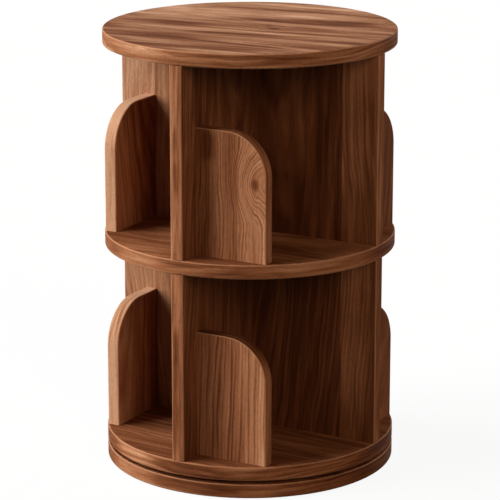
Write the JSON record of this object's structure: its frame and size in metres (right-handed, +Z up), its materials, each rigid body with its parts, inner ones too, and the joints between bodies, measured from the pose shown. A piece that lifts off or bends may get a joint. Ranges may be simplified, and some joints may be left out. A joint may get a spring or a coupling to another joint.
{
  "type": "revolving bookcase",
  "caption": "Round walnut bookcase with open tiers of book spaces between crossed panels and round-cornered dividers, turning on a ball bearing ring over a low base.",
  "frame": {"origin": "centre of the bottom of the pads, on the floor and on the turning axis", "axes": "+Z up along the turning axis; -Y along the front panel and +X along the right panel of the cross"},
  "size_m": [0.4, 0.4, 0.606],
  "materials": {
    "walnut": "satin oil",
    "panel_walnut": "satin oil",
    "divider_walnut": "satin oil",
    "pad_felt": "felt",
    "ring_aluminium": "machined",
    "cage_nylon": "moulded",
    "ball_steel": "polished",
    "screw_steel": "zinc plated",
    "cam_zinc": "die cast zinc",
    "dowel_beech": "raw"
  },
  "bodies": {
    "base": {"base_plate": "walnut", "foot_pads": "pad_felt", "base_ring": "ring_aluminium", "base_ring_screws": "screw_steel"},
    "ball_cage": {"ball_cage": "cage_nylon", "bearing_balls": "ball_steel"},
    "carousel": {"bottom_shelf": "walnut", "middle_shelf": "walnut", "top_board": "walnut", "lower_through_panel": "panel_walnut", "lower_right_panel": "panel_walnut", "lower_left_panel": "panel_walnut", "upper_through_panel": "panel_walnut", "upper_right_panel": "panel_walnut", "upper_left_panel": "panel_walnut", "lower_front_divider": "divider_walnut", "lower_right_divider": "divider_walnut", "lower_back_divider": "divider_walnut", "lower_left_divider": "divider_walnut", "upper_front_divider": "divider_walnut", "upper_right_divider": "divider_walnut", "upper_back_divider": "divider_walnut", "upper_left_divider": "divider_walnut", "shelf_ring": "ring_aluminium", "shelf_ring_screws": "screw_steel", "panel_screws": "screw_steel", "top_bolts": "screw_steel", "shelf_bolts": "screw_steel", "lower_cam_locks": "cam_zinc", "upper_cam_locks": "cam_zinc", "bottom_dowels": "dowel_beech", "middle_dowels": "dowel_beech", "top_dowels": "dowel_beech", "cross_dowels": "dowel_beech", "lower_divider_dowels": "dowel_beech", "upper_divider_dowels": "dowel_beech"}
  },
  "joints": [
    {"name": "carousel_spin", "type": "hinge", "parent": "base", "child": "carousel", "pos_m": [0, 0, 0.02375], "axis": [0, 0, 1], "continuous": true},
    {"name": "ball_cage_spin", "type": "hinge", "parent": "base", "child": "ball_cage", "pos_m": [0, 0, 0.02375], "axis": [0, 0, 1], "continuous": true}
  ],
  "couplings": [
    {"joint": "ball_cage_spin", "follows": "carousel_spin", "ratio": 0.5}
  ]
}
